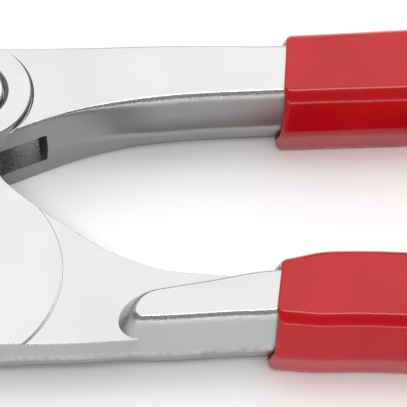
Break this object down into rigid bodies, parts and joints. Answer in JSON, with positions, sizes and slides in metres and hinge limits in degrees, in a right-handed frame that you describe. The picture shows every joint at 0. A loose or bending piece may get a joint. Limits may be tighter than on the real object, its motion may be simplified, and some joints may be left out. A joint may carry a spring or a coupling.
{
  "type": "grozing pliers",
  "caption": "Adjustable glass grozing pliers with serrated jaws, a push-button box joint and two red dip-coated handles.",
  "frame": {"origin": "on the joint's axis, at the flat underside of the head, where the pliers rest when they lie on their side", "axes": "+X from the joint towards the handle ends, +Y from the inner lever's handle towards the outer lever's handle, +Z out of the face with the push button"},
  "size_m": [0.2384, 0.056, 0.0138],
  "materials": {
    "chrome_plate": "satin pebbled chrome plate over a steel forging",
    "bright_steel": "fine turned bright steel",
    "spring_steel": "oiled spring steel",
    "red_dip": "glossy dip-moulded PVC"
  },
  "bodies": {
    "outer_arm": {"outer_lever": "chrome_plate", "outer_grip": "red_dip", "button_ring": "spring_steel", "sleeve_ring": "spring_steel"},
    "pivot": {"pivot_sleeve": "bright_steel", "button_spring": "spring_steel"},
    "button": {"lock_button": "bright_steel"},
    "inner_arm": {"inner_lever": "chrome_plate", "inner_grip": "red_dip"}
  },
  "joints": [
    {"name": "handle_hinge", "type": "hinge", "parent": "outer_arm", "child": "pivot", "pos_m": [0, 0, 0], "axis": [0, 0, -1], "range_deg": [0, 25]},
    {"name": "jaw_adjust", "type": "slide", "parent": "pivot", "child": "inner_arm", "axis": [0.165, 0.9863, 0], "range_m": [0, 0.009]},
    {"name": "button_press", "type": "slide", "parent": "pivot", "child": "button", "axis": [0, 0, -1], "range_m": [0, 0.0023], "stiffness_N_per_m": 1500, "springref_m": -0.002, "deforming": ["button_spring"]}
  ]
}
